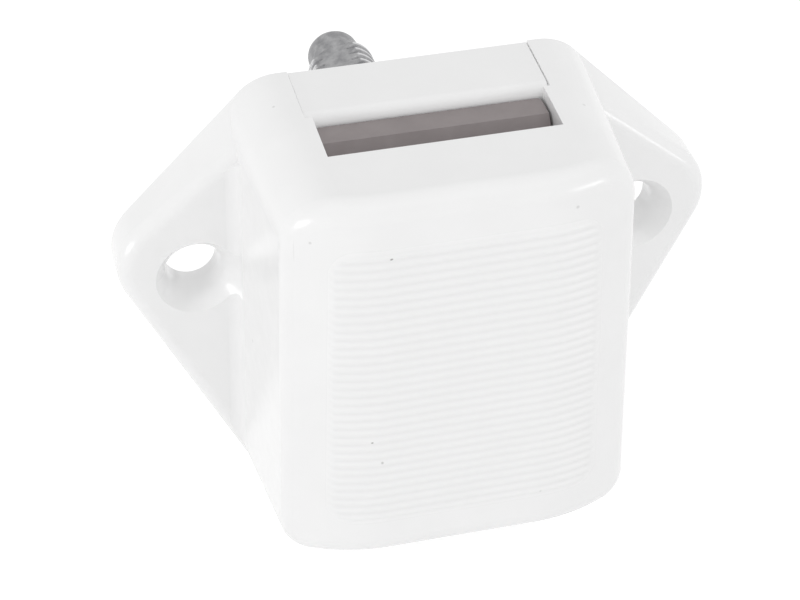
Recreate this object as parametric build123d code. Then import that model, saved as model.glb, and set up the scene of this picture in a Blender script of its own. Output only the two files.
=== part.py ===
from build123d import *
from math import atan, cos, radians, sin, tan
import os

# Cabinet push-button lock, opened state: the spindle stands out at the back and the bolt is drawn in.
# Millimetres. The origin is on the spindle's axis in the mounting face. +Y leaves the back towards
# the door, -Y is the ribbed front, +Z is the end that the bolt leaves by and +X is to the right.

# Case: a tapered box, widest at the mounting face
case_depth = 24.5
case_half_width = 19.85
case_narrowing = 1.7
case_foot_flare = 1.1
case_top_back = 20.4
case_top_front = 19.2
case_bottom_back = -26.3
case_bottom_front = -25.55
case_top_corner = 5.6
case_bottom_corner = 3.3
case_front_edge = 2.3
front_flat_half_width = 8.0
front_side_bend = 18.0
front_bend_angle = 38.0
wall = 2.0

# Screw ears
ear_thickness = 5.2
screw_spacing = 48.0
screw_hole_radius = 2.8
screw_mouth_radius = 4.4
screw_straight_length = 1.6
ear_tip_radius = 6.6
ear_tip_out = 1.6
ear_tip_up = 1.5
ear_upper_angle_back = 44.5
ear_upper_angle_front = 52.5
ear_lower_angle = 26.6
ear_edge_round = 1.5
ear_foot_round = 1.5

# Ribbed grip field on the front
rib_pitch = 1.02
rib_count = 33
rib_groove_width = 0.45
rib_groove_depth = 0.22
rib_field_top = 13.2
rib_field_half_width = 13.9
rib_field_corner = 2.0

# Bolt opening in the top wall and the bolt that slides in it
slot_half_width = 12.05
bolt_thickness = 6.6
bolt_front = -15.2
bolt_top = 18.7
bolt_bottom = -19.6
bolt_corner = 0.5
bolt_bevel_run = 3.6
bolt_bevel_drop = 4.5
bolt_window_top = 12.0
bolt_window_foot = -15.4

# Working travel: the bolt rises as far as the spindle is pushed in
push_travel = 8.0

# Clearances: between moving faces, in loose seats and in pressed fits
slot_clearance = 0.2
side_clearance = 0.3
running = 0.05
seat = 0.3
fit = 0.01
cover_gap = 0.08
spring_gap = 0.2
peg_gap = 0.15

# Drive pins, pressed into the bolt's legs
drive_pin_radius = 1.0
drive_pin_low = -4.0
drive_pin_reach = 2.3
drive_pin_cover = 0.75

# Bolt springs, their bores, pads and pegs
bolt_spring_radius = 1.6
bolt_spring_wire = 0.45
bolt_spring_turns = 7
bolt_spring_top = -6.4
spring_pad_top = -20.9
spring_pad_half = 2.2
spring_peg_length = 2.0
spring_wire_sides = 6

# Carriage that the spindle pushes
carriage_half_width = 7.1
carriage_half_height = 6.6
carriage_chamfer = 0.4
ramp_pocket_depth = 2.6

# Return spring between the case front and the carriage
return_spring_radius = 2.1
return_spring_wire = 0.55
return_spring_turns = 6
return_spring_seat = -7.4
return_peg_length = 2.2

# Spindle, for the knob that is screwed on from the other side of the door
spindle_thread_radius = 4.1
thread_root_radius = 3.6
thread_pitch = 1.9
spindle_relief_radius = 3.9
spindle_relief_end = 0.4
spindle_nose_radius = 3.1
spindle_end = 36.6
spindle_nose_length = 4.4
spindle_nose_round = 1.3
spindle_flat = 3.2
spindle_flat_turn = 17.0
spindle_flat_start = 6.0
spindle_neck_radius = 2.5
spindle_neck_end = -6.2
spindle_bore_clearance = 0.08
spindle_pin_radius = 0.8
spindle_pin_place = -4.6
spindle_pin_top = 3.4

# Back cover; its lip closes the rear of the bolt opening, in a wider notch
cover_thickness = 2.2
lip_step = 0.75
cover_inset = 0.15
cover_lip_foot = 13.0
lip_drop = 0.2
lip_round = 1.4
lip_wall = 1.8
guide_rib_width = 2.6
guide_rib_foot = -20.0
guide_rib_half_height = 9.0

# Catch: a bent wire finger that runs in the heart-shaped track on the carriage
finger_wire_radius = 0.5
track_front_wall = 1.1
finger_pivot = -4.3
finger_height = 7.6
finger_bend = 0.9
finger_tip_lift = 0.2
finger_pivot_top = 11.6
finger_swing = 14.0
track_depth = 1.2
track_half_width = 0.8
track_overrun = 1.1
shelf_bottom = 8.8
shelf_top = 12.9
shelf_front = -6.4
shelf_half_width = 3.4

# Leaf spring that presses the finger into the track, and its screw
leaf_thickness = 0.25
leaf_half_width = 1.6
leaf_back = -2.4
leaf_overhang = 1.4
leaf_toe = 0.9
leaf_screw_place = -3.4
leaf_screw_radius = 0.7
leaf_screw_head_radius = 1.0
leaf_screw_head = 0.8
leaf_screw_chamfer = 0.3
leaf_screw_length = 1.0

# Cover screws
cover_screw_radius = 0.9
cover_screw_head_radius = 1.7
cover_screw_head = 1.0
cover_screw_length = 8.0
cover_screw_high = 12.5
cover_screw_low = -18.5
screw_cross_reach = 0.9
screw_cross_half_width = 0.2
screw_cross_depth = 0.5
screw_slot_half_width = 0.15

# Helpers for cuts: past a face, and past the whole lock; and limits for picking edges
past = 1.0
beyond = 60.0
near = 0.1
along_ratio = 0.9

front_draft = case_narrowing / case_depth
foot_flare = tan(radians(case_foot_flare))
bolt_back = bolt_front + bolt_thickness
bolt_middle = bolt_front + bolt_thickness / 2
lip_front = bolt_back + slot_clearance
slot_front = bolt_front - slot_clearance
bolt_half_width = slot_half_width - side_clearance
bolt_window_half = carriage_half_width + side_clearance
bolt_spring_place = (bolt_window_half + bolt_half_width) / 2
notch_half_width = slot_half_width + lip_step
front_inner = -(case_depth - wall)
carriage_back = -(cover_thickness + seat)
carriage_front = front_inner + push_travel + seat
finger_tip = carriage_front + track_front_wall + track_half_width
leaf_tip = finger_tip + leaf_overhang
screw_x = screw_spacing / 2
bolt_spring_bore = bolt_spring_radius + spring_gap
bolt_peg_radius = bolt_spring_radius - bolt_spring_wire - peg_gap
return_peg_radius = return_spring_radius - return_spring_wire - peg_gap
finger_bore = finger_wire_radius + running
leaf_screw_bore = leaf_screw_radius + fit
cover_pilot = cover_screw_radius + fit


def half_width_at(y, z):
    """Half width of the case, which narrows towards the front and widens towards its foot."""
    return case_half_width + y * front_draft - z * foot_flare


def plane_at(y):
    """Drawing plane across the case at a depth, with X to the right and Z up."""
    return Plane.XZ.offset(-y)


def bar(x0, x1, y0, y1, z0, z1):
    """Box between two corners."""
    middle = Pos((x0 + x1) / 2, (y0 + y1) / 2, (z0 + z1) / 2)
    return middle * Box(abs(x1 - x0), abs(y1 - y0), abs(z1 - z0))


def rod_y(x, z, y0, y1, radius):
    """Round bar along Y between two depths."""
    return Pos(x, (y0 + y1) / 2, z) * Rot(90, 0, 0) * Cylinder(radius, abs(y1 - y0))


def rod_z(x, y, z0, z1, radius):
    """Round bar along Z between two heights."""
    return Pos(x, y, (z0 + z1) / 2) * Cylinder(radius, abs(z1 - z0))


def rod_x(y, z, x0, x1, radius):
    """Round bar along X between two places."""
    return Pos((x0 + x1) / 2, y, z) * Rot(0, 90, 0) * Cylinder(radius, abs(x1 - x0))


def bottom_at(y):
    """Height of the case's underside at a depth."""
    return case_bottom_back + (case_bottom_front - case_bottom_back) * -y / case_depth


def top_at(y):
    """Height of the case's top at a depth."""
    return case_top_back + (case_top_front - case_top_back) * -y / case_depth


def long_edges(solid):
    """Edges that run from the back to the front."""
    return solid.edges().filter_by(lambda e: abs(e.tangent_at(0.5).Y) > along_ratio)


def tapered_box(inset):
    """Case outline shrunk by an inset, with flat drafted sides."""
    top_draft = (case_top_back - case_top_front) / case_depth
    bottom_draft = (case_bottom_back - case_bottom_front) / case_depth
    sides = [
        (Vector(case_half_width, 0, 0), Vector(1, -front_draft, foot_flare)),
        (Vector(-case_half_width, 0, 0), Vector(-1, -front_draft, foot_flare)),
        (Vector(0, 0, case_top_back), Vector(0, -top_draft, 1)),
        (Vector(0, 0, case_bottom_back), Vector(0, bottom_draft, -1)),
    ]
    block = bar(-beyond, beyond, inset - case_depth, 0, -beyond, beyond)
    for point, outward in sides:
        normal = outward.normalized()
        face = Plane(point - normal * inset, z_dir=normal)
        block = split(block, bisect_by=face, keep=Keep.BOTTOM)
    return block


def front_profile(inset):
    """Plan of the case front: flat in the middle, bent back in an arc and a straight at each side."""
    front = -(case_depth - inset)
    radius = front_side_bend - inset
    angle = radians(front_bend_angle)
    side_x = front_flat_half_width + radius * sin(angle)
    side_y = front + radius * (1 - cos(angle))
    middle_x = front_flat_half_width + radius * sin(angle / 2)
    middle_y = front + radius * (1 - cos(angle / 2))
    wide_x = side_x + case_half_width
    wide_y = side_y + case_half_width * tan(angle)
    outline = [
        Line((-front_flat_half_width, front), (front_flat_half_width, front)),
        ThreePointArc((front_flat_half_width, front), (middle_x, middle_y), (side_x, side_y)),
        Line((side_x, side_y), (wide_x, wide_y)),
        Line((wide_x, wide_y), (wide_x, past)),
        Line((wide_x, past), (-wide_x, past)),
        Line((-wide_x, past), (-wide_x, wide_y)),
        Line((-wide_x, wide_y), (-side_x, side_y)),
        ThreePointArc((-side_x, side_y), (-middle_x, middle_y), (-front_flat_half_width, front)),
    ]
    return make_face(outline)


def ear_root_x():
    """Where the ears start, inside the case under the middle of its rounded top corners."""
    return half_width_at(0, case_top_back) - case_top_corner


def ear_outline(upper_angle, foot_z):
    """Right ear seen from the front: upper line, round tip and lower line down to the case."""
    tip = Vector(screw_x + ear_tip_out, ear_tip_up)
    up = Vector(cos(radians(upper_angle)), sin(radians(upper_angle)))
    down = Vector(cos(radians(ear_lower_angle)), -sin(radians(ear_lower_angle)))
    upper_end = tip + up * ear_tip_radius
    lower_end = tip + down * ear_tip_radius
    inner_x = ear_root_x()
    root_x = inner_x + case_top_corner * cos(radians(ear_upper_angle_back))
    root_z = upper_end.Y + (upper_end.X - root_x) / tan(radians(upper_angle))
    foot_x = lower_end.X - (lower_end.Y - foot_z) * tan(radians(ear_lower_angle))
    outline = [
        Line((inner_x, foot_z), (inner_x, root_z)),
        Line((inner_x, root_z), (root_x, root_z)),
        Line((root_x, root_z), (upper_end.X, upper_end.Y)),
        ThreePointArc(
            (upper_end.X, upper_end.Y),
            (tip.X + ear_tip_radius, tip.Y),
            (lower_end.X, lower_end.Y),
        ),
        Line((lower_end.X, lower_end.Y), (foot_x, foot_z)),
        Line((foot_x, foot_z), (inner_x, foot_z)),
    ]
    return make_face(outline)


def ear():
    """Right ear, thicker in its upper flank towards the case, with its front edge rounded."""
    back = plane_at(0) * ear_outline(ear_upper_angle_back, bottom_at(0))
    front = plane_at(-ear_thickness) * ear_outline(ear_upper_angle_front, bottom_at(-ear_thickness))
    plate = loft([back, front], ruled=True)
    rim = plate.edges().filter_by(
        lambda e: e.center().Y < near - ear_thickness
        and e.center().X > ear_root_x() + near
        and e.center().Z > bottom_at(-ear_thickness) + near
        and abs(e.tangent_at(0.5).Z) > 1 - along_ratio
    )
    return fillet(rim, ear_edge_round)


def cove():
    """Hollow rounding in the corner between the right flank and the ear's front face."""
    corner_x = half_width_at(-ear_thickness, 0)
    draft = atan(front_draft)
    run = ear_foot_round / tan(radians(45) + draft / 2)
    on_face = (corner_x + run, -ear_thickness)
    on_flank = (corner_x - run * sin(draft), -ear_thickness - run * cos(draft))
    inside = (corner_x - run, -ear_thickness + run)
    section = make_face(
        [
            TangentArc(on_face, on_flank, tangent=(-1, 0)),
            Line(on_flank, (inside[0], on_flank[1])),
            Line((inside[0], on_flank[1]), inside),
            Line(inside, (on_face[0], inside[1])),
            Line((on_face[0], inside[1]), on_face),
        ]
    )
    outline = offset(ear_outline(ear_upper_angle_front, bottom_at(-ear_thickness)), -ear_edge_round / 2)
    upright = Rot(0, -case_foot_flare, 0) * extrude(section, beyond, both=True)
    return upright & extrude(Plane.XZ * outline, case_depth)


def screw_hole():
    """Screw hole with a straight seat at the back and a trumpet mouth at the front."""
    outer = screw_mouth_radius + past
    front = -ear_thickness - past
    profile = make_face(
        [
            Line((0, past), (screw_hole_radius, past)),
            Line((screw_hole_radius, past), (screw_hole_radius, -screw_straight_length)),
            TangentArc(
                (screw_hole_radius, -screw_straight_length),
                (screw_mouth_radius, -ear_thickness),
                tangent=(0, -1),
            ),
            Line((screw_mouth_radius, -ear_thickness), (outer, front)),
            Line((outer, front), (0, front)),
            Line((0, front), (0, past)),
        ]
    )
    return Pos(screw_x, 0, 0) * revolve(profile, Axis.Y)


def case_body():
    """Outside of the case, solid: tapered box with a front that bends back at both sides."""
    block = tapered_box(0)
    block = fillet(long_edges(block).filter_by(lambda e: e.center().Z > 0), case_top_corner)
    lower = long_edges(block).filter_by(lambda e: e.center().Z < bottom_at(0) / 2)
    block = fillet(lower, case_bottom_corner)
    block = block & extrude(front_profile(0), beyond, both=True)
    rim = block.edges().filter_by(
        lambda e: e.center().Y < -case_depth / 2 and abs(e.tangent_at(0.5).Y) < along_ratio
    )
    seams = rim.filter_by(
        lambda e: abs(e.center().X) < front_flat_half_width + near and abs(e.tangent_at(0.5).Z) > along_ratio
    )
    return fillet([edge for edge in rim if edge not in seams], case_front_edge)


def cavity():
    """Hollow of the case, with its rails, guide ribs, spring pads and pegs left standing."""
    hollow = tapered_box(wall)
    hollow = fillet(long_edges(hollow), case_top_corner - wall)
    hollow = hollow & extrude(front_profile(wall), beyond, both=True)
    rail_back = -(cover_thickness + cover_inset)
    for side in (-1, 1):
        rail = bar(side * slot_half_width, side * beyond, slot_front, rail_back, -beyond, beyond)
        hollow = hollow - rail
        guide = bar(
            side * (carriage_half_width + side_clearance),
            side * (carriage_half_width + side_clearance + guide_rib_width),
            front_inner - past,
            slot_front,
            -guide_rib_half_height,
            guide_rib_half_height,
        )
        hollow = hollow - guide
        pad = bar(
            side * (bolt_spring_place - spring_pad_half),
            side * (bolt_spring_place + spring_pad_half),
            bolt_middle - spring_pad_half,
            bolt_middle + spring_pad_half,
            -beyond,
            spring_pad_top,
        )
        peg = rod_z(
            side * bolt_spring_place,
            bolt_middle,
            spring_pad_top - past,
            spring_pad_top + spring_peg_length,
            bolt_peg_radius,
        )
        hollow = hollow - pad - peg
    front_peg = rod_y(0, 0, front_inner - past, front_inner + return_peg_length, return_peg_radius)
    return hollow - front_peg


def rib_grooves():
    """Fine horizontal grooves that leave the ribs of the grip field standing on the front."""
    skin = front_profile(0) - front_profile(rib_groove_depth)
    grooves = []
    for row in range(rib_count):
        z = rib_field_top - row * rib_pitch
        from_end = min(row, rib_count - 1 - row) * rib_pitch
        reach = rib_field_half_width - z * foot_flare
        if from_end < rib_field_corner:
            rise = rib_field_corner - from_end
            reach = reach - rib_field_corner + (rib_field_corner**2 - rise**2) ** 0.5
        strip = skin & Pos(0, -case_depth / 2) * Rectangle(2 * reach, 2 * case_depth)
        grooves.append(Pos(0, 0, z) * extrude(strip, rib_groove_width / 2, both=True))
    return grooves


def housing():
    """White moulded case in one piece: box, ears, rails and the opening for the bolt."""
    right_ear = ear()
    shell = case_body() + right_ear + mirror(right_ear, Plane.YZ)
    right_cove = cove()
    shell = shell + right_cove + mirror(right_cove, Plane.YZ)
    hole = screw_hole()
    shell = shell - hole - mirror(hole, Plane.YZ)
    shell = shell - cavity()
    shell = shell - bar(-slot_half_width, slot_half_width, slot_front, past, cover_lip_foot, beyond)
    notch_front = lip_front - cover_gap
    shell = shell - bar(-notch_half_width, notch_half_width, notch_front, past, cover_lip_foot, beyond)
    for x, z in cover_screw_places():
        shell = shell - rod_y(x, z, -cover_screw_length - seat, 0, cover_pilot)
    return shell - rib_grooves()


def back_cover():
    """White moulded cover that closes the back; its lip is the rear edge of the bolt opening."""
    plate = tapered_box(wall + cover_gap)
    plate = fillet(long_edges(plate), case_top_corner - wall)
    plate = plate & bar(-beyond, beyond, -cover_thickness, 0, -beyond, beyond)
    lip_half = notch_half_width - cover_gap
    lip = bar(-lip_half, lip_half, lip_front, 0, cover_lip_foot, beyond) & tapered_box(lip_drop)
    lip_edge = lip.edges().filter_by(Axis.X).filter_by(
        lambda e: e.center().Y < lip_front + near and e.center().Z > bolt_top
    )
    lip = fillet(lip_edge, lip_round)
    core_top = top_at(lip_front) - lip_drop - lip_wall
    core_half = lip_half - lip_wall
    core_foot = cover_lip_foot - past
    inner = -cover_thickness
    core = bar(-core_half, core_half, lip_front + lip_wall, inner, core_foot, core_top)
    shelf = bar(-shelf_half_width, shelf_half_width, shelf_front, inner, shelf_bottom, shelf_top)
    cover = plate + (lip - core) + shelf
    for side in (-1, 1):
        near_x = side * (bolt_half_width - guide_rib_width)
        far_x = side * bolt_half_width
        cover = cover + bar(near_x, far_x, lip_front, inner, guide_rib_foot, cover_lip_foot)
    spindle_bore = spindle_thread_radius + spindle_bore_clearance
    screw_foot = shelf_top - leaf_screw_length
    cover = cover - rod_y(0, 0, inner - past, past, spindle_bore)
    cover = cover - rod_z(0, finger_pivot, shelf_bottom - past, finger_pivot_top + running, finger_bore)
    cover = cover - rod_z(0, leaf_screw_place, screw_foot, shelf_top + past, leaf_screw_bore)
    for x, z in cover_screw_places():
        cover = cover - rod_y(x, z, inner - past, past, cover_screw_radius + running)
        head = Cone(cover_screw_radius + running, cover_screw_head_radius + running, cover_screw_head)
        cover = cover - Pos(x, -cover_screw_head / 2, z) * Rot(-90, 0, 0) * head
    return cover


def rail_middle(z):
    """Middle of the rail between the bolt's slot and the cover's edge at a height."""
    cover_edge = half_width_at(0, z) - wall - cover_gap
    return (slot_half_width + cover_edge) / 2


def cover_screw_places():
    """Where the four cover screws stand, seen from the front."""
    heights = (cover_screw_low, cover_screw_high)
    return [(side * rail_middle(z), z) for side in (-1, 1) for z in heights]


def cover_screws():
    """Four countersunk self-tapping screws, heads flush with the mounting face."""
    screws = []
    for x, z in cover_screw_places():
        shank = rod_y(x, z, -cover_screw_length, -cover_screw_head, cover_screw_radius)
        head = Cone(cover_screw_radius, cover_screw_head_radius, cover_screw_head)
        screw = shank + Pos(x, -cover_screw_head / 2, z) * Rot(-90, 0, 0) * head
        reach = screw_cross_reach
        half = screw_cross_half_width
        level = bar(x - reach, x + reach, -screw_cross_depth, past, z - half, z + half)
        upright = bar(x - half, x + half, -screw_cross_depth, past, z - reach, z + reach)
        screws.append(screw - level - upright)
    return Compound(children=[solid for screw in screws for solid in screw.solids()])


def latch_bolt():
    """Wide flat bolt with a bevelled nose, a window for the carriage and two legs on springs."""
    block = bar(-bolt_half_width, bolt_half_width, bolt_front, bolt_back, bolt_bottom, bolt_top)
    upright = block.edges().filter_by(Axis.Z)
    block = fillet(upright, bolt_corner)
    bevel = make_face(
        Polyline(
            [
                (bolt_front - past, bolt_top + past),
                (bolt_front - past, bolt_top - bolt_bevel_drop - past * bolt_bevel_drop / bolt_bevel_run),
                (bolt_front + bolt_bevel_run + past * bolt_bevel_run / bolt_bevel_drop, bolt_top + past),
            ],
            close=True,
        )
    )
    block = block - extrude(Plane.YZ * bevel, beyond, both=True)
    front = bolt_front - past
    back = bolt_back + past
    foot = bolt_bottom - past
    block = block - bar(-bolt_window_half, bolt_window_half, front, back, bolt_window_foot, bolt_window_top)
    for side in (-1, 1):
        bore = rod_z(side * bolt_spring_place, bolt_middle, foot, bolt_spring_top, bolt_spring_bore)
        block = block - bore - drive_pin(side, fit)
    return block


def drive_pin(side, extra):
    """Steel dowel pressed into one leg of the bolt; its end runs under the carriage's ramp."""
    inner = carriage_half_width - drive_pin_reach
    outer = bolt_half_width - drive_pin_cover
    return rod_x(bolt_middle, drive_pin_low, side * inner, side * outer, drive_pin_radius + extra)


def coil(radius, wire, turns, length):
    """Round-wire compression spring standing on the ground plane, of an outer radius and a length."""
    rise = length - wire
    path = Helix(pitch=rise / turns, height=rise, radius=radius - wire / 2)
    section = Plane(path @ 0, z_dir=path % 0) * RegularPolygon(wire / 2, spring_wire_sides)
    return Pos(0, 0, wire / 2) * sweep(section, path=path, is_frenet=True)


def bolt_spring(side):
    """Compression spring between the case floor and one leg of the bolt."""
    length = bolt_spring_top - spring_pad_top
    spring = coil(bolt_spring_radius, bolt_spring_wire, bolt_spring_turns, length)
    return Pos(side * bolt_spring_place, bolt_middle, spring_pad_top) * spring


def return_spring():
    """Compression spring that pushes the carriage and spindle back out."""
    length = return_spring_seat - front_inner
    spring = coil(return_spring_radius, return_spring_wire, return_spring_turns, length)
    return Pos(0, front_inner, 0) * Rot(-90, 0, 0) * spring


def track_line():
    """Middle of the heart-shaped track, seen from above, in the carriage at rest."""
    arm = finger_pivot - finger_tip
    swing = radians(finger_swing)
    lobe_x = arm * sin(swing)
    lobe_y = finger_pivot - arm * cos(swing) + push_travel
    notch_y = finger_tip + push_travel - track_overrun
    return Polyline(
        [(0, finger_tip), (lobe_x, lobe_y), (0, notch_y), (-lobe_x, lobe_y)],
        close=True,
    )


def carriage():
    """Moulded slider with a ramp in each side, a spring bore and the heart-shaped track on top."""
    half_height = carriage_half_height
    half_width = carriage_half_width
    block = bar(-half_width, half_width, carriage_front, carriage_back, -half_height, half_height)
    block = chamfer(block.edges().filter_by(Axis.Y), carriage_chamfer)
    pocket_front = bolt_middle - drive_pin_radius - seat
    pocket_back = carriage_back + past
    pocket_top = drive_pin_low + push_travel + drive_pin_radius + seat
    ramp = drive_pin_low - bolt_middle + (drive_pin_radius + running) * 2**0.5
    pocket = make_face(
        Polyline(
            [
                (pocket_front, -half_height - past),
                (pocket_front, pocket_front + ramp),
                (pocket_top - ramp, pocket_top),
                (pocket_back, pocket_top),
                (pocket_back, -half_height - past),
            ],
            close=True,
        )
    )
    for side in (-1, 1):
        start = Plane.YZ.offset(side * (half_width - ramp_pocket_depth))
        block = block - extrude(start * pocket, side * (ramp_pocket_depth + past))
    spring_bore = return_spring_radius + spring_gap
    block = block - rod_y(0, 0, carriage_front - past, return_spring_seat, spring_bore)
    block = block - rod_y(0, 0, spindle_neck_end - running, 0, spindle_neck_radius + fit)
    block = block - spindle_pin(fit)
    track = trace(track_line(), 2 * track_half_width)
    return block - Pos(0, 0, half_height - track_depth) * extrude(track, track_depth + past)


def thread_body(start, end):
    """Threaded length as rings between two places: crests at the outer radius, V grooves between."""
    turns = int((end - start) / thread_pitch)
    first = end - turns * thread_pitch
    points = [(0, start), (spindle_thread_radius, start)]
    for turn in range(turns):
        crest = first + turn * thread_pitch
        points.append((spindle_thread_radius, crest))
        points.append((thread_root_radius, crest + thread_pitch / 2))
    points.append((spindle_thread_radius, end))
    points.append((0, end))
    return revolve(make_face(Polyline(points, close=True)), Axis.Y)


def spindle():
    """Zinc-plated spindle: thread body with a milled flat, a smooth nose and a pinned neck."""
    thread_end = spindle_end - spindle_nose_length
    thread = thread_body(spindle_relief_end, thread_end)
    flat = bar(-beyond, beyond, spindle_flat_start, thread_end + past, spindle_flat, beyond)
    thread = thread - Rot(0, -spindle_flat_turn, 0) * flat
    nose = rod_y(0, 0, thread_end, spindle_end, spindle_nose_radius)
    tip_edge = nose.edges().filter_by(lambda e: e.center().Y > spindle_end - near)
    nose = fillet(tip_edge.filter_by(GeomType.CIRCLE), spindle_nose_round)
    relief = rod_y(0, 0, carriage_back, spindle_relief_end, spindle_relief_radius)
    neck = rod_y(0, 0, spindle_neck_end, carriage_back, spindle_neck_radius)
    return thread + nose + relief + neck - spindle_pin(fit)


def spindle_pin(extra):
    """Steel pin that holds the spindle's neck in the carriage."""
    return rod_z(0, spindle_pin_place, -carriage_half_height, spindle_pin_top, spindle_pin_radius + extra)


def catch_finger():
    """Bent wire finger: one end turns in the cover's shelf, the other runs in the track."""
    tip_z = carriage_half_height - track_depth + finger_tip_lift
    path = FilletPolyline(
        (0, finger_tip, tip_z),
        (0, finger_tip, finger_height),
        (0, finger_pivot, finger_height),
        (0, finger_pivot, finger_pivot_top),
        radius=finger_bend,
    )
    return sweep(Plane(path @ 0, z_dir=path % 0) * Circle(finger_wire_radius), path=path)


def leaf_spring():
    """Strip of spring steel screwed on the shelf; its end presses the finger into the track."""
    underside = finger_height + finger_wire_radius + seat
    line = Polyline(
        (leaf_back, shelf_top),
        (shelf_front, shelf_top),
        (leaf_tip, underside),
        (leaf_tip - leaf_toe, underside + leaf_toe / 3),
    )
    strip = make_face(offset(line, leaf_thickness, side=Side.RIGHT))
    strip = extrude(Plane.YZ * strip, leaf_half_width, both=True)
    return strip - rod_z(0, leaf_screw_place, shelf_top - past, shelf_top + past, leaf_screw_bore)


def leaf_screw():
    """Small slotted screw that holds the leaf spring on the shelf."""
    seat_z = shelf_top + leaf_thickness
    foot = shelf_top + running - leaf_screw_length
    middle = seat_z + leaf_screw_head / 2
    shank = rod_z(0, leaf_screw_place, foot, seat_z, leaf_screw_radius)
    head = rod_z(0, leaf_screw_place, seat_z, seat_z + leaf_screw_head, leaf_screw_head_radius)
    rim = head.edges().filter_by(lambda e: e.center().Z > middle)
    head = chamfer(rim.filter_by(GeomType.CIRCLE), leaf_screw_chamfer)
    slot_back = leaf_screw_place + screw_slot_half_width
    slot_front_y = leaf_screw_place - screw_slot_half_width
    slot = bar(-beyond, beyond, slot_front_y, slot_back, middle, beyond)
    return shank + head - slot


def main():
    """Writes every piece of the lock to its own file."""
    pieces = {
        "housing": housing(),
        "back_cover": back_cover(),
        "cover_screws": cover_screws(),
        "latch_bolt": latch_bolt(),
        "drive_pin_left": drive_pin(-1, 0),
        "drive_pin_right": drive_pin(1, 0),
        "bolt_spring_left": bolt_spring(-1),
        "bolt_spring_right": bolt_spring(1),
        "carriage": carriage(),
        "return_spring": return_spring(),
        "spindle": spindle(),
        "spindle_pin": spindle_pin(0),
        "catch_finger": catch_finger(),
        "leaf_spring": leaf_spring(),
        "leaf_screw": leaf_screw(),
    }
    os.makedirs("parts", exist_ok=True)
    for name, piece in pieces.items():
        export_step(piece, f"parts/{name}.step")


main()
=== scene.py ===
"""Looks of the push-button cabinet lock: its finishes, fine mesh detail, studio and camera."""

import logging
import math
from dataclasses import dataclass
from enum import Enum
from typing import Any, Sequence

import bpy
from mathutils import Matrix, Vector


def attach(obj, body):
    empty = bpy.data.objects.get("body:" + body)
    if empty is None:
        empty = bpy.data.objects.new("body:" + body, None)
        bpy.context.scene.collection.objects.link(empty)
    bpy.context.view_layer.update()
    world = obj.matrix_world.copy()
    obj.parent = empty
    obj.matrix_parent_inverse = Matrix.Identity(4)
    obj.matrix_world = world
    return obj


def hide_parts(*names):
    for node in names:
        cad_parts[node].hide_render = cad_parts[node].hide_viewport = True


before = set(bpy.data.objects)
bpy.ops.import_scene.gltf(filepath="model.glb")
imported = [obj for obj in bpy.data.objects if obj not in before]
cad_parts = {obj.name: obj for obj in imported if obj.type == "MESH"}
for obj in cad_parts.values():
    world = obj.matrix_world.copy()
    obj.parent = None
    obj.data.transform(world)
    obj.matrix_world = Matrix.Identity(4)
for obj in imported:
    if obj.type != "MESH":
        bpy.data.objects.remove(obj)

LOG = logging.getLogger("lock")
MM = 0.001

# Attribute of a mesh point, from 0 to 1: how far it stands out. It sets painted shade in the low
# places and, on a thread, brighter crests for rubbed plating and painted highlight.
WEAR_AND_SHADING = "wear_and_shading"

# The sRGB curve: straight up to its knee and a power above it.
SRGB_STEPS = 255
SRGB_KNEE = 0.04045
SRGB_SLOPE = 12.92
SRGB_OFFSET = 0.055
SRGB_POWER = 2.4

# A mix node has sockets for each kind of value. These are the share's and the colours'.
MIX_SHARE = 0
MIX_FIRST = 6
MIX_SECOND = 7
MIX_RESULT = 2

Point = tuple[float, float, float]
Limits = tuple[float, float]
Inputs = dict[str | int, Any]
Socket = bpy.types.NodeSocket


class Body(Enum):
    """Bodies of the frame that the pieces made here ride on."""

    CASE = "case"
    PLUNGER = "plunger"


class Slot(Enum):
    """Material slots of the record that the pieces made here stand for."""

    WHITE = "white_moulding"
    ZINC = "zinc_plated_steel"


def linear(colour: str) -> tuple[float, float, float, float]:
    """Turns an sRGB hex colour into linear values.

    Args:
        colour: Six hex digits after a hash sign.

    Returns:
        Red, green, blue and an alpha of 1.
    """
    shares = [part / SRGB_STEPS for part in bytes.fromhex(colour[1:])]
    red, green, blue = (
        share / SRGB_SLOPE if share <= SRGB_KNEE
        else ((share + SRGB_OFFSET) / (1 + SRGB_OFFSET)) ** SRGB_POWER
        for share in shares
    )
    return (red, green, blue, 1.0)


def clamped(value: float, low: float = 0.0, high: float = 1.0) -> float:
    """Keeps a value between two limits."""
    return min(max(value, low), high)


def eased(share: float) -> float:
    """Eases a share from 0 to 1 in and out, so that it starts and ends without a kink."""
    return share * share * (3 - 2 * share)


def wave(phase: float) -> float:
    """Gives a soft wave that is 1 at phase 0 and 0 half a turn on."""
    return (1 + math.cos(phase)) / 2


def add_node(
    tree: bpy.types.NodeTree,
    kind: str,
    inputs: Inputs | None = None,
    **settings: Any,
) -> bpy.types.Node:
    """Adds a node with its settings and links.

    Args:
        tree: Node tree that gets the node.
        kind: Blender's name of the node type.
        inputs: Value or linked socket for each input, by name or number.
        **settings: Properties of the node.

    Returns:
        The new node.
    """
    node = tree.nodes.new(kind)
    for name, value in settings.items():
        setattr(node, name, value)
    for name, value in (inputs or {}).items():
        if isinstance(value, bpy.types.NodeSocket):
            tree.links.new(value, node.inputs[name])
        else:
            node.inputs[name].default_value = value
    return node


@dataclass(frozen=True)
class Grain:
    """A cloudy pattern of a real size.

    Attributes:
        size_mm: Size of one grain in millimetres.
        detail: Octaves of finer grain.
        limits: Lowest and highest noise that count, so that the pattern fills its range.
    """

    size_mm: float
    detail: float = 2.0
    limits: Limits = (0.3, 0.7)

    def inputs(self, place: Socket) -> Inputs:
        """Gives the inputs of the noise that draws this grain at a place."""
        return {"Vector": place, "Scale": 1 / self.size_mm, "Detail": self.detail}


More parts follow.
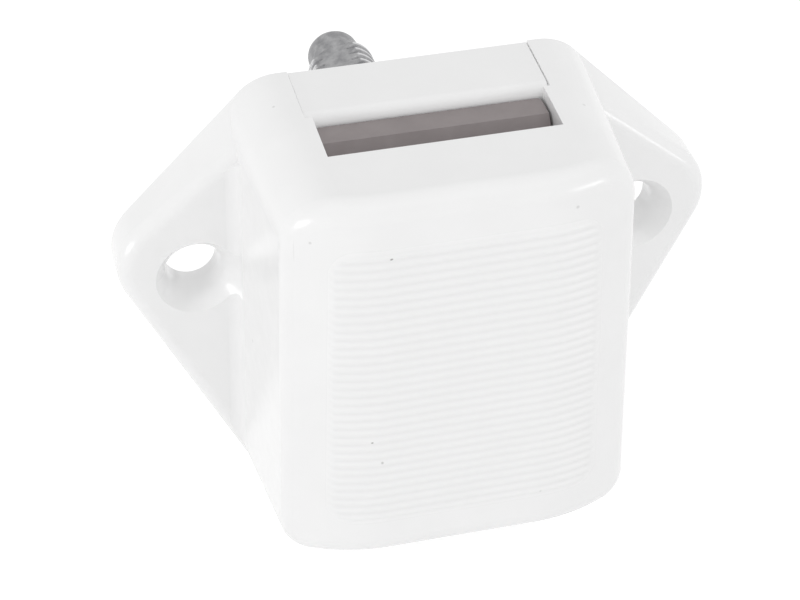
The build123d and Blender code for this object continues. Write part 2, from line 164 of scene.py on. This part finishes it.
class Coat:
    """A material in the making.

    Attributes:
        material: The material.
        tree: Its node tree.
        shader: Its principled shader.
        place: The piece's own coordinates in millimetres, so that pattern sizes are real ones.
    """

    def __init__(self, name: str) -> None:
        """Starts the material.

        Args:
            name: Name of the material.
        """
        self.material = bpy.data.materials.new(name)
        self.material.use_nodes = True
        self.tree = self.material.node_tree
        self.shader = self.tree.nodes["Principled BSDF"]
        own = add_node(self.tree, "ShaderNodeTexCoord").outputs["Object"]
        scaled = add_node(self.tree, "ShaderNodeVectorMath", {0: own, "Scale": 1 / MM},
                          operation="SCALE")
        self.place: Socket = scaled.outputs["Vector"]

    def clouds(self, grain: Grain, low: float = 0.0, high: float = 1.0) -> Socket:
        """Gives a value that wanders between two limits in clouds.

        Args:
            grain: Size of the clouds.
            low: Lowest value.
            high: Highest value.

        Returns:
            The wandering value.
        """
        noise = add_node(self.tree, "ShaderNodeTexNoise", grain.inputs(self.place))
        spread = add_node(self.tree, "ShaderNodeMapRange", {
            "Value": noise.outputs["Fac"],
            "From Min": grain.limits[0],
            "From Max": grain.limits[1],
            "To Min": low,
            "To Max": high,
        })
        return spread.outputs["Result"]

    def cloudy_colour(self, grain: Grain, first: str, second: str) -> Socket:
        """Gives a colour that wanders between two hex colours in clouds of one grain."""
        mixed = add_node(self.tree, "ShaderNodeMix", {
            MIX_SHARE: self.clouds(grain),
            MIX_FIRST: linear(first),
            MIX_SECOND: linear(second),
        }, data_type="RGBA")
        return mixed.outputs[MIX_RESULT]

    def bumps(self, grain: Grain, depth_mm: float, below: Socket | None = None) -> Socket:
        """Gives bumps of a real size and depth.

        Args:
            grain: Size of the bumps.
            depth_mm: Height of the bumps over the hollows.
            below: Normal of the surface that they lie on, if it has bumps of its own.

        Returns:
            The normal of the bumpy surface.
        """
        noise = add_node(self.tree, "ShaderNodeTexNoise", grain.inputs(self.place))
        inputs: Inputs = {"Height": noise.outputs["Fac"], "Distance": depth_mm * MM}
        if below is not None:
            inputs["Normal"] = below
        return add_node(self.tree, "ShaderNodeBump", inputs).outputs["Normal"]

    def finish(self, **inputs: Any) -> bpy.types.Material:
        """Sets the shader's inputs, by name with an underscore for a space.

        Args:
            **inputs: Value or linked socket for each input.

        Returns:
            The finished material.
        """
        for name, value in inputs.items():
            socket = self.shader.inputs[name.replace("_", " ")]
            if isinstance(value, bpy.types.NodeSocket):
                self.tree.links.new(value, socket)
            else:
                socket.default_value = value
        return self.material


@dataclass(frozen=True)
class Speck:
    """A small dark speck in the white moulding, where the photograph shows one.

    Attributes:
        place: Middle of the speck in millimetres.
        radius: Its radius in millimetres.
        share: How dark it is, from 0 to 1.
        stretch: How many times as high as wide it is, for a fine scratch.
    """

    place: Point
    radius: float
    share: float
    stretch: float = 1.0


# ABS is dense white, and a polished tool leaves it smooth: the eye sees soft, broad highlights
# at the roundings, because such moulding has a fine orange peel and shallow sink waves.
@dataclass(frozen=True)
class WhiteAbs:
    """ABS, injection moulded in a polished tool.

    Attributes:
        name: Name of the material.
        colour: Main colour.
        shade: Colour of its faint mottle.
        valley_shade: Painted shade between the grip ribs, where light gets in less.
        speck_colour: Colour of the specks.
        speck_core: Share of a speck's radius inside which it has its full colour.
        roughness: Middle roughness.
        spread: How far the roughness wanders from the middle.
        ior: Index of refraction.
        mottle: Grain of the colour.
        gloss: Grain of the roughness.
        peel: Grain of the orange peel.
        peel_depth_mm: Depth of the orange peel.
        sink: Size of the sink waves.
        sink_depth_mm: Depth of the sink waves.
        specks: Specks in it.
        ribbed: Whether it is the grip field, whose valleys get painted shade.
    """

    name: str = "abs_moulded_white"
    colour: str = "#F5F5F5"
    shade: str = "#F3F3F3"
    valley_shade: str = "#F0F0F0"
    speck_colour: str = "#5C5650"
    speck_core: float = 0.4
    roughness: float = 0.21
    spread: float = 0.02
    ior: float = 1.54
    mottle: Grain = Grain(5.0)
    gloss: Grain = Grain(1.5)
    peel: Grain = Grain(0.45, detail=1.0)
    peel_depth_mm: float = 0.0008
    sink: Grain = Grain(9.0, detail=0.0)
    sink_depth_mm: float = 0.01
    specks: tuple[Speck, ...] = ()
    ribbed: bool = False

    def material(self) -> bpy.types.Material:
        """Builds the material."""
        coat = Coat(self.name)
        colour = coat.cloudy_colour(self.mottle, self.colour, self.shade)
        if self.ribbed:
            # The grip field's valleys are painted darker: painted shade between the ribs.
            crest = add_node(coat.tree, "ShaderNodeAttribute", attribute_name=WEAR_AND_SHADING)
            colour = add_node(coat.tree, "ShaderNodeMix", {
                MIX_SHARE: crest.outputs["Fac"],
                MIX_FIRST: linear(self.valley_shade),
                MIX_SECOND: colour,
            }, data_type="RGBA").outputs[MIX_RESULT]
        for speck in self.specks:
            colour = self._with_speck(coat, colour, speck)
        waves = coat.bumps(self.sink, self.sink_depth_mm)
        gloss = coat.clouds(self.gloss, self.roughness - self.spread, self.roughness + self.spread)
        return coat.finish(Base_Color=colour, Roughness=gloss, IOR=self.ior,
                           Normal=coat.bumps(self.peel, self.peel_depth_mm, waves))

    def _with_speck(self, coat: Coat, colour: Socket, speck: Speck) -> Socket:
        """Darkens the colour inside one speck.

        Args:
            coat: Material in the making.
            colour: Colour without the speck.
            speck: The speck.

        Returns:
            Colour with the speck.
        """
        squeeze = (1.0, 1.0, 1.0 / speck.stretch)
        middle = tuple(along * share for along, share in zip(speck.place, squeeze))
        squeezed = add_node(coat.tree, "ShaderNodeVectorMath", {0: coat.place, 1: squeeze},
                            operation="MULTIPLY")
        distance = add_node(coat.tree, "ShaderNodeVectorMath",
                            {0: squeezed.outputs["Vector"], 1: middle}, operation="DISTANCE")
        inside = add_node(coat.tree, "ShaderNodeMapRange", {
            "Value": distance.outputs["Value"],
            "From Min": speck.radius,
            "From Max": speck.radius * self.speck_core,
            "To Min": 0.0,
            "To Max": speck.share,
        })
        mixed = add_node(coat.tree, "ShaderNodeMix", {
            MIX_SHARE: inside.outputs["Result"],
            MIX_FIRST: colour,
            MIX_SECOND: linear(self.speck_colour),
        }, data_type="RGBA")
        return mixed.outputs[MIX_RESULT]


# Acetal is moulded unfilled and slippery: the eye sees a satin face with faint flow marks. Its
# real grain is too fine to show, so it is drawn coarser.
@dataclass(frozen=True)
class Acetal:
    """Acetal, injection moulded.

    Attributes:
        name: Name of the material.
        colour: Main colour.
        shade: Colour of its flow marks.
        roughness: Roughness.
        ior: Index of refraction.
        flow: Grain of the flow marks.
        grain: Grain of the satin face.
        grain_depth_mm: Depth of that grain.
    """

    name: str
    colour: str
    shade: str
    roughness: float = 0.42
    ior: float = 1.48
    flow: Grain = Grain(3.0, detail=3.0, limits=(0.35, 0.65))
    grain: Grain = Grain(0.25)
    grain_depth_mm: float = 0.004

    def material(self) -> bpy.types.Material:
        """Builds the material."""
        coat = Coat(self.name)
        return coat.finish(Base_Color=coat.cloudy_colour(self.flow, self.colour, self.shade),
                           Roughness=self.roughness, IOR=self.ior,
                           Normal=coat.bumps(self.grain, self.grain_depth_mm))


# Zinc plating on turned steel, passivated and tumbled in bulk: the eye sees dull, cloudy grey
# metal. A thread's crests are painted brighter, for rubbed plating and painted highlight, and
# its valleys are painted darker, as painted shade.
@dataclass(frozen=True)
class ZincPlate:
    """Zinc-plated steel.

    Attributes:
        name: Name of the material.
        colour: Main colour.
        shade: Colour of the darker clouds.
        rubbed_and_highlight: Colour of a crest, brighter for rubbed plating and painted highlight.
        hollow_shade: Colour in a valley, painted shade.
        rubbed_and_highlight_span: Value of wear_and_shading at which a crest starts to brighten
            and at which it is brightest.
        rubbed_and_highlight_share: How much of the brighter crest colour shows there.
        hollow_shade_span: Value of wear_and_shading at which a valley starts to darken with
            painted shade and at which it is darkest.
        hollow_shade_share: How much of the painted shade shows there.
        roughness: Middle roughness.
        spread: How far the roughness wanders from the middle.
        cloud: Grain of the colour.
        gloss: Grain of the roughness.
        dents: Size of the tumbling dents.
        dents_depth_mm: Depth of those dents.
        thread: Whether it is a thread, whose crests are painted brighter for wear and highlight
            and whose valleys get painted shade.
    """

    name: str = "steel_zinc_plated_worn_shaded"
    colour: str = "#A8A8A9"
    shade: str = "#8E8E90"
    rubbed_and_highlight: str = "#DCDCDD"
    hollow_shade: str = "#6E6E70"
    rubbed_and_highlight_span: Limits = (0.62, 0.95)
    rubbed_and_highlight_share: float = 0.9
    hollow_shade_span: Limits = (0.5, 0.0)
    hollow_shade_share: float = 0.7
    roughness: float = 0.42
    spread: float = 0.12
    cloud: Grain = Grain(1.1, detail=4.0, limits=(0.35, 0.65))
    gloss: Grain = Grain(0.3, detail=3.0)
    dents: Grain = Grain(0.5, detail=3.0)
    dents_depth_mm: float = 0.02
    thread: bool = False

    def material(self) -> bpy.types.Material:
        """Builds the material."""
        coat = Coat(self.name)
        colour = coat.cloudy_colour(self.cloud, self.colour, self.shade)
        if self.thread:
            colour = self._worn_and_shaded(coat, colour)
        gloss = coat.clouds(self.gloss, self.roughness - self.spread, self.roughness + self.spread)
        return coat.finish(Base_Color=colour, Metallic=1.0, Roughness=gloss,
                           Normal=coat.bumps(self.dents, self.dents_depth_mm))

    def _worn_and_shaded(self, coat: Coat, colour: Socket) -> Socket:
        """Paints a thread's crests brighter, for rubbed plating and painted highlight, and its
        valleys darker as painted shade.

        Args:
            coat: Material in the making.
            colour: Colour of plain plating.

        Returns:
            Colour of the plating with rubbing, painted highlight and painted shade.
        """
        wear_and_shading = add_node(coat.tree, "ShaderNodeAttribute", attribute_name=WEAR_AND_SHADING).outputs["Fac"]
        # Bright crests are partly rubbed plating and partly painted highlight; dark valleys are
        # painted shade.
        for limits, share, tint in (
            (self.rubbed_and_highlight_span, self.rubbed_and_highlight_share, self.rubbed_and_highlight),
            (self.hollow_shade_span, self.hollow_shade_share, self.hollow_shade),
        ):
            shown = add_node(coat.tree, "ShaderNodeMapRange", {
                "Value": wear_and_shading,
                "From Min": limits[0],
                "From Max": limits[1],
                "To Min": 0.0,
                "To Max": share,
            })
            colour = add_node(coat.tree, "ShaderNodeMix", {
                MIX_SHARE: shown.outputs["Result"],
                MIX_FIRST: colour,
                MIX_SECOND: linear(tint),
            }, data_type="RGBA").outputs[MIX_RESULT]
        return colour


# Spring steel is hard drawn through a die: the eye sees bright wire with fine darker lines.
# Real drawing lines are too fine to show, so they are drawn coarser.
@dataclass(frozen=True)
class SpringSteel:
    """Spring steel, hard drawn.

    Attributes:
        name: Name of the material.
        colour: Main colour.
        shade: Colour in the drawing lines.
        roughness: Roughness.
        lines: Grain of the drawing lines.
        line_depth_mm: Depth of the lines.
    """

    name: str = "steel_spring_drawn"
    colour: str = "#9FA0A3"
    shade: str = "#7F8083"
    roughness: float = 0.3
    lines: Grain = Grain(0.2, detail=3.0, limits=(0.35, 0.65))
    line_depth_mm: float = 0.002

    def material(self) -> bpy.types.Material:
        """Builds the material."""
        coat = Coat(self.name)
        lines = coat.clouds(self.lines)
        colour = add_node(coat.tree, "ShaderNodeMix", {
            MIX_SHARE: lines,
            MIX_FIRST: linear(self.colour),
            MIX_SECOND: linear(self.shade),
        }, data_type="RGBA").outputs[MIX_RESULT]
        drawn = add_node(coat.tree, "ShaderNodeBump",
                         {"Height": lines, "Distance": self.line_depth_mm * MM})
        return coat.finish(Base_Color=colour, Metallic=1.0, Roughness=self.roughness,
                           Normal=drawn.outputs["Normal"])


def dress(nodes: Sequence[str], material: bpy.types.Material) -> None:
    """Gives CAD nodes a finish.

    Args:
        nodes: Names of the nodes.
        material: Finish that they get.
    """
    for name in nodes:
        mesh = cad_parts[name].data
        mesh.materials.clear()
        mesh.materials.append(material)
        LOG.info("dressed %s in %s", name, material.name)


@dataclass
class Skin:
    """Points and faces of a piece in the making.

    Attributes:
        verts: Points in millimetres.
        faces: Corners of each face.
        wear_and_shading: How far each point stands out, from 0 to 1, which sets painted shade and
            wear.
    """

    verts: list[Point]
    faces: list[list[int]]
    wear_and_shading: list[float]

    def piece(self, name: str, material: bpy.types.Material, slot: Slot,
              body: Body) -> bpy.types.Object:
        """Makes the smooth mesh piece and puts it on its body.

        Args:
            name: Name of the piece.
            material: Its finish.
            slot: The record's material slot that the finish stands for; not used.
            body: Body that it rides on.

        Returns:
            The piece.
        """
        mesh = bpy.data.meshes.new(name)
        mesh.from_pydata([Vector(v) * MM for v in self.verts], [], self.faces)
        mesh.polygons.foreach_set("use_smooth", [True] * len(mesh.polygons))
        mesh.materials.append(material)
        mesh.update()
        marks = mesh.attributes.new(WEAR_AND_SHADING, "FLOAT", "POINT")
        marks.data.foreach_set("value", self.wear_and_shading)
        piece = bpy.data.objects.new(name, mesh)
        bpy.context.scene.collection.objects.link(piece)
        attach(piece, body.value)
        LOG.info("built %s with %d faces", name, len(self.faces))
        return piece


@dataclass
class Case:
    """The white case: housing, back cover and the soft ribs of the grip field.

    Attributes:
        depth: Distance from the mounting face to the front.
        flat_half: Half width of the flat middle of the front.
        bend: Radius that the front bends back with at its sides.
        pitch: Distance from rib to rib.
        ribs: How many ribs the field has.
        first_rib: Height of the top rib.
        half_top: Half width of the field at its top.
        half_foot: Half width of the field at its foot.
        corner: Radius of the field's corners.
        margin: How far the field's skin goes on round it, sinking into the front.
        lift: How far the skin stands over the housing's own grooves.
        rib_height: Height of a rib over the valleys.
        fade: Length over which a rib runs out at its end.
        steps_per_rib: Rows of faces to a rib.
        columns: Faces across the field.
        rib_roughness: Roughness of the field, which the tool leaves more matt.
        specks: Specks in the white, as they lie in the photograph.
    """

    depth: float = 24.5
    flat_half: float = 8.0
    bend: float = 18.0
    pitch: float = 1.034
    ribs: int = 33
    first_rib: float = 13.2
    half_top: float = 13.68
    half_foot: float = 14.32
    corner: float = 2.4
    margin: float = 0.3
    lift: float = 0.03
    rib_height: float = 0.15
    fade: float = 0.4
    steps_per_rib: int = 10
    columns: int = 90
    rib_roughness: float = 0.4
    specks: tuple[Speck, ...] = (
        Speck((-7.93, -24.6, 12.97), 0.2, 0.75),
        Speck((-9.97, -24.55, -9.79), 0.18, 0.75),
        Speck((-8.94, -24.6, -12.56), 0.2, 0.35),
        Speck((8.27, -24.58, -19.98), 0.2, 0.2),
        Speck((10.95, -24.27, 15.72), 0.25, 0.2),
        Speck((-15.58, -22.81, 15.02), 0.2, 0.2),
        Speck((-15.34, -5.43, 19.83), 0.2, 0.2),
        Speck((15.29, -12.01, 19.36), 0.25, 0.15),
        Speck((-19.28, -9.82, -5.8), 0.25, 0.15),
        Speck((-17.03, -22.0, 13.7), 0.11, 0.1, stretch=16.0),
    )

    @property
    def top(self) -> float:
        """Height of the field's top edge."""
        return self.first_rib + self.pitch / 2

    @property
    def height(self) -> float:
        """Height of the field."""
        return self.ribs * self.pitch

    def front_y(self, x: float) -> float:
        """Depth of the front face at a place across."""
        over = max(abs(x) - self.flat_half, 0.0)
        return -self.depth + self.bend - math.sqrt(self.bend ** 2 - over ** 2)

    def edge_distance(self, x: float, z: float) -> float:
        """Distance inwards from the field's rounded outline, negative outside it."""
        share = (self.top - z) / self.height
        half = self.half_top + (self.half_foot - self.half_top) * share
        across = abs(x) - (half - self.corner)
        up = abs(z - (self.top - self.height / 2)) - (self.height / 2 - self.corner)
        outside = math.hypot(max(across, 0.0), max(up, 0.0))
        return self.corner - outside - min(max(across, up), 0.0)

    def rib_at(self, x: float, z: float) -> tuple[Point, float]:
        """Gives a point of the field's skin.

        Args:
            x: Place across.
            z: Height.

        Returns:
            The point, and how far it stands out, from 0 to 1.
        """
        inside = self.edge_distance(x, z)
        share = eased(clamped(inside / self.fade))
        bulge = wave(2 * math.pi * (self.first_rib - z) / self.pitch)
        base = self.lift * clamped((inside + self.margin) / self.margin, -1.0, 1.0)
        y = self.front_y(x) - base - bulge * self.rib_height * share
        return (x, y, z), 1.0 - share * (1.0 - bulge)

    def grip_field(self, material: bpy.types.Material) -> None:
        """Builds the soft ribs as one thin skin over the front.

        Args:
            material: Finish of the field.
        """
        skin = Skin([], [], [])
        top = self.top + self.margin
        height = self.height + 2 * self.margin
        half = self.half_foot + self.margin
        rows = round(self.steps_per_rib * height / self.pitch)
        for row in range(rows + 1):
            z = top - height * row / rows
            for column in range(self.columns + 1):
                point, crest = self.rib_at(half * (2 * column / self.columns - 1), z)
                skin.verts.append(point)
                skin.wear_and_shading.append(crest)
        wide = self.columns + 1
        for row in range(rows):
            for column in range(self.columns):
                corner = row * wide + column
                skin.faces.append([corner, corner + wide, corner + wide + 1, corner + 1])
        skin.piece("grip_ribs", material, Slot.WHITE, Body.CASE)

    def build(self) -> None:
        """Dresses the case and builds its ribs."""
        dress(["housing", "back_cover"], WhiteAbs(specks=self.specks).material())
        # The grip field's finish paints shade into the valleys between the ribs.
        ribs = WhiteAbs(name="abs_moulded_white_matt_shaded_valleys", roughness=self.rib_roughness, ribbed=True,
                        specks=self.specks)
        self.grip_field(ribs.material())


@dataclass
class Spindle:
    """The zinc-plated spindle with its rounded thread, milled flat and smooth nose.

    Attributes:
        crest: Radius over the thread.
        root: Radius in the thread's valleys.
        pitch: Distance from turn to turn.
        fullness: How much of the wave is cut off flat at the crests, above 1.
        roundness: Power of the wave, whose crests grow wider below 1.
        thread_start: Where the thread starts, behind the mounting face.
        thread_end: Where the thread ends and the nose starts.
        run_out: Length over which the thread ends.
        end: End of the nose.
        nose: Radius of the nose.
        nose_round: Rounding of its tip.
        flat: Distance of the milled flat from the axis.
        flat_turn: Angle of the flat from the top, in degrees.
        flat_start: Where the flat starts, behind the mounting face.
        flat_room: How near to the flat a point counts as milled.
        plain: Radius of the plain part in the case.
        back: Inner end, in the carriage.
        milled_wear_and_shading: Value on the flat, where the plating is painted neither brighter
            nor darker.
        plain_wear_and_shading: Value on the plain parts.
        around: Faces round the spindle.
        steps_per_turn: Rows of faces to a turn of the thread.
        nose_places: Where the nose has rings, as shares of its straight length.
        tip_steps: Rows of faces in the rounding of the tip.
    """

    crest: float = 4.1
    root: float = 3.5
    pitch: float = 1.25
    fullness: float = 1.25
    roundness: float = 0.8
    thread_start: float = 0.4
    thread_end: float = 32.2
    run_out: float = 0.5
    end: float = 36.6
    nose: float = 3.1
    nose_round: float = 1.3
    flat: float = 3.2
    flat_turn: float = 17.0
    flat_start: float = 6.0
    flat_room: float = 0.01
    plain: float = 3.9
    back: float = -2.5
    milled_wear_and_shading: float = 0.5
    plain_wear_and_shading: float = 0.6
    around: int = 96
    steps_per_turn: int = 14
    nose_places: tuple[float, ...] = (0.05, 0.5, 1.0)
    tip_steps: int = 8

    def bulge_at(self, y: float, angle: float) -> float:
        """Height of the thread's wave at a place, 1 on a crest and 0 in a valley."""
        return wave(2 * math.pi * y / self.pitch + angle)

    def facing(self, angle: float) -> float:
        """Share of a radius at an angle that points to the milled flat."""
        return math.cos(angle - math.radians(self.flat_turn))

    def radius_at(self, y: float, angle: float) -> float:
        """Radius of the thread at a place along it and an angle from the top.

        Args:
            y: Place along the spindle.
            angle: Angle from the top in radians.

        Returns:
            Radius in millimetres, cut by the milled flat.
        """
        rise = min(1.0, self.fullness * self.bulge_at(y, angle) ** self.roundness)
        radius = self.root + (self.crest - self.root) * rise
        run_in = clamped((y - self.thread_start) / self.pitch)
        run_out = clamped((self.thread_end - y) / self.run_out)
        radius = self.plain + (radius - self.plain) * run_in
        radius = self.nose + (radius - self.nose) * run_out
        if y > self.flat_start and radius * self.facing(angle) > self.flat:
            radius = self.flat / self.facing(angle)
        return radius

    def wear_and_shading_at(self, y: float, radius: float, angle: float) -> float:
        """How far a point stands out, which sets its painted shade, painted highlight and wear.

        Args:
            y: Place along the spindle.
            radius: Radius of the surface there.
            angle: Angle from the top in radians.

        Returns:
            Wear from 0 in a valley to 1 on a crest.
        """
        if y > self.flat_start and radius * self.facing(angle) > self.flat - self.flat_room:
            return self.milled_wear_and_shading
        if not self.thread_start < y < self.thread_end:
            return self.plain_wear_and_shading
        return self.bulge_at(y, angle)

    def rings(self) -> list[tuple[float, list[float]]]:
        """Gives each ring of the mesh: its place along Y and its radius at each angle."""
        angles = [2 * math.pi * k / self.around for k in range(self.around)]
        found: list[tuple[float, list[float]]] = [(self.back, [self.plain] * self.around)]
        length = self.thread_end - self.thread_start
        count = round(length / self.pitch * self.steps_per_turn)
        for step in range(count + 1):
            y = self.thread_start + length * step / count
            found.append((y, [self.radius_at(y, angle) for angle in angles]))
        straight = self.end - self.nose_round
        for share in self.nose_places:
            y = self.thread_end + (straight - self.thread_end) * share
            found.append((y, [self.nose] * self.around))
        for step in range(1, self.tip_steps + 1):
            turn = math.pi / 2 * step / self.tip_steps
            y = straight + self.nose_round * math.sin(turn)
            radius = self.nose - self.nose_round * (1 - math.cos(turn))
            found.append((y, [radius] * self.around))
        return found

    def build(self) -> None:
        """Builds the threaded spindle and dresses what is pinned to it."""
        skin = Skin([], [], [])
        rings = self.rings()
        for y, radii in rings:
            for k, radius in enumerate(radii):
                angle = 2 * math.pi * k / self.around
                skin.verts.append((-radius * math.sin(angle), y, radius * math.cos(angle)))
                skin.wear_and_shading.append(self.wear_and_shading_at(y, radius, angle))
        for low in range(0, (len(rings) - 1) * self.around, self.around):
            high = low + self.around
            for k in range(self.around):
                after = (k + 1) % self.around
                skin.faces.append([low + k, high + k, high + after, low + after])
        last = (len(rings) - 1) * self.around
        skin.faces.append(list(range(self.around)))
        skin.faces.append([last + k for k in reversed(range(self.around))])
        piece = skin.piece("threaded_spindle", ZincPlate(thread=True).material(), Slot.ZINC,
                           Body.PLUNGER)
        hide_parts("spindle")
        dress(["spindle_pin"], ZincPlate(name="steel_zinc_plated_plain").material())


@dataclass
class Mechanism:
    """What works inside the case: bolt, carriage, pins, springs, catch and screws.

    Attributes:
        bolt: Finish of the bolt.
        slider: Finish of the carriage.
        wire: Finish of the springs and of the catch's finger.
        plated: Finish of the drive pins and screws, plated bright.
    """

    bolt: Acetal = Acetal("acetal_moulded_warm_grey", "#8F8787", "#888080")
    slider: Acetal = Acetal("acetal_moulded_dark_grey", "#55565A", "#4B4C50")
    wire: SpringSteel = SpringSteel()
    plated: ZincPlate = ZincPlate(name="steel_zinc_plated_bright", colour="#C4C5C8",
                                  shade="#ADAEB2", roughness=0.32)

    def build(self) -> None:
        """Dresses the inner pieces."""
        dress(["latch_bolt"], self.bolt.material())
        dress(["carriage"], self.slider.material())
        dress(["bolt_spring_left", "bolt_spring_right", "return_spring", "catch_finger",
               "leaf_spring"], self.wire.material())
        dress(["drive_pin_left", "drive_pin_right", "leaf_screw", "cover_screws"],
              self.plated.material())


@dataclass
class PhotoCamera:
    """The photograph's camera, found from the lock's own edges.

    Attributes:
        azimuth: Turn to the side in degrees, negative to the left.
        elevation: Angle above the level in degrees.
        roll: Turn about its own axis in degrees.
        distance: Distance from the target in metres.
        aside: Target's place along the view's right, in millimetres.
        above: Target's place along the view's up, in millimetres.
        focal_pixels: Focal length in pixels of the photograph.
        width_pixels: Width of the photograph.
        sensor_mm: Width of the sensor.
        near: Nearest distance that shows, in metres.
        far: Farthest distance that shows, in metres.
    """

    azimuth: float = -14.324
    elevation: float = 36.499
    roll: float = 0.066
    distance: float = 0.27047
    aside: float = -0.793
    above: float = -8.837
    focal_pixels: float = 2500.0
    width_pixels: float = 800.0
    sensor_mm: float = 36.0
    near: float = 0.01
    far: float = 50.0

    def build(self) -> None:
        """Makes the camera and puts it in charge of the scene."""
        turn, rise, roll = (math.radians(v) for v in (self.azimuth, self.elevation, self.roll))
        back = Vector((math.sin(turn) * math.cos(rise), -math.cos(turn) * math.cos(rise),
                       math.sin(rise)))
        level = Vector((math.cos(turn), math.sin(turn), 0.0))
        upward = back.cross(level)
        right = math.cos(roll) * level + math.sin(roll) * upward
        up = math.cos(roll) * upward - math.sin(roll) * level
        target = (self.aside * right + self.above * up) * MM
        lens = bpy.data.cameras.new("photo_camera")
        lens.sensor_fit = "HORIZONTAL"
        lens.sensor_width = self.sensor_mm
        lens.lens = self.focal_pixels / self.width_pixels * self.sensor_mm
        lens.clip_start = self.near
        lens.clip_end = self.far
        camera = bpy.data.objects.new("photo_camera", lens)
        place = Matrix((right, up, back)).transposed().to_4x4()
        place.translation = target + back * self.distance
        camera.matrix_world = place
        bpy.context.scene.collection.objects.link(camera)
        bpy.context.scene.camera = camera


@dataclass(frozen=True)
class Softbox:
    """One soft lamp of the studio.

    Attributes:
        name: Name of the lamp.
        place: Its place in metres.
        size: Length and width of its face in metres.
        level: Light that it gives on a face turned to it, where 1 is white.
    """

    name: str
    place: Point
    size: tuple[float, float]
    level: float

    def build(self, target: Vector) -> None:
        """Makes the lamp, turned to the target."""
        lamp = bpy.data.lights.new(self.name, "AREA")
        lamp.shape = "RECTANGLE"
        lamp.size, lamp.size_y = self.size
        away = Vector(self.place) - target
        # A lamp of P watts lights a face turned to it, d metres away, to P / (pi * d) ** 2.
        lamp.energy = self.level * (math.pi * away.length) ** 2
        holder = bpy.data.objects.new(self.name, lamp)
        holder.location = self.place
        holder.rotation_euler = away.to_track_quat("Z", "Y").to_euler()
        bpy.context.scene.collection.objects.link(holder)


@dataclass
class Studio:
    """White photo studio: floor, even surrounding light and softboxes.

    Attributes:
        floor_z: Height of the floor in millimetres, just under the case.
        floor_size: Width of the floor in metres.
        surround: Strength of the even light all round.
        bounces: How often light goes on from white wall to white wall, as in the screw holes.
        paper: Grey of the floor where it lights the lock.
        veil: Grey of the floor where it is seen, which carries the lock's soft shadow.
        glow: Light of its own that makes the seen floor white.
        aim: Point that the softboxes are turned to, in metres.
        boxes: The softboxes.
    """

    floor_z: float = -26.5
    floor_size: float = 8.0
    surround: float = 0.755
    bounces: int = 12
    paper: float = 0.9
    veil: float = 0.3
    glow: float = 0.84
    aim: Point = (0.0, -0.012, 0.0)
    boxes: tuple[Softbox, ...] = (
        Softbox("softbox_left", (-0.56, -0.24, -0.02), (0.26, 0.26), 0.38),
        Softbox("softbox_top", (0.1, -0.1, 0.7), (1.0, 0.8), 0.17),
        Softbox("softbox_right", (0.4, -0.45, 0.03), (0.26, 0.1), 0.11),
    )

    @staticmethod
    def _seen(tree: bpy.types.NodeTree) -> Socket:
        """Tells whether a ray sees the surface: in view, in a gloss or through glass.

        Args:
            tree: Node tree of the surface.

        Returns:
            A share of 1 where it is seen, and of 0 for rays that only light the lock.
        """
        path = add_node(tree, "ShaderNodeLightPath")
        glossy = add_node(tree, "ShaderNodeMath", {
            0: path.outputs["Is Camera Ray"],
            1: path.outputs["Is Glossy Ray"],
        }, operation="ADD")
        seen = add_node(tree, "ShaderNodeMath", {
            0: glossy.outputs[0],
            1: path.outputs["Is Transmission Ray"],
        }, operation="ADD", use_clamp=True)
        return seen.outputs[0]

    def floor(self) -> None:
        """Lays the floor: white to the camera, and it keeps the lock's soft shadow."""
        half = self.floor_size / 2
        z = self.floor_z * MM
        mesh = bpy.data.meshes.new("floor")
        mesh.from_pydata([(-half, -half, z), (half, -half, z), (half, half, z), (-half, half, z)],
                         [], [[0, 1, 2, 3]])
        made = bpy.data.materials.new("paper_white_backdrop")
        made.use_nodes = True
        tree = made.node_tree
        tree.nodes.clear()
        paper, veil = (
            add_node(tree, "ShaderNodeBsdfDiffuse", {"Color": (grey, grey, grey, 1.0)}).outputs[0]
            for grey in (self.paper, self.veil)
        )
        glow = add_node(tree, "ShaderNodeEmission",
                        {"Color": linear("#FFFFFF"), "Strength": self.glow})
        lit = add_node(tree, "ShaderNodeAddShader", {0: veil, 1: glow.outputs[0]})
        mixed = add_node(tree, "ShaderNodeMixShader",
                         {0: self._seen(tree), 1: paper, 2: lit.outputs[0]})
        add_node(tree, "ShaderNodeOutputMaterial", {"Surface": mixed.outputs[0]})
        mesh.materials.append(made)
        floor = bpy.data.objects.new("floor", mesh)
        bpy.context.scene.collection.objects.link(floor)

    def world(self) -> None:
        """Sets the even light all round, which looks white where it is seen."""
        world = bpy.data.worlds.new("studio_white")
        bpy.context.scene.world = world
        world.use_nodes = True
        tree = world.node_tree
        tree.nodes.clear()
        strength = add_node(tree, "ShaderNodeMapRange", {
            "Value": self._seen(tree),
            "From Min": 0.0,
            "From Max": 1.0,
            "To Min": self.surround,
            "To Max": 1.0,
        })
        back = add_node(tree, "ShaderNodeBackground",
                        {"Color": linear("#FFFFFF"), "Strength": strength.outputs["Result"]})
        add_node(tree, "ShaderNodeOutputWorld", {"Surface": back.outputs[0]})

    def build(self) -> None:
        """Sets up the studio."""
        bpy.context.scene.view_settings.view_transform = "Standard"
        bpy.context.scene.cycles.diffuse_bounces = self.bounces
        self.floor()
        self.world()
        for box in self.boxes:
            box.build(Vector(self.aim))


def main() -> None:
    """Builds the lock's looks and its studio in order."""
    logging.basicConfig(level=logging.INFO, format="%(name)s: %(message)s")
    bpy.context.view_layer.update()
    Studio().build()
    PhotoCamera().build()
    Case().build()
    Spindle().build()
    Mechanism().build()


if __name__ == "__main__":
    main()
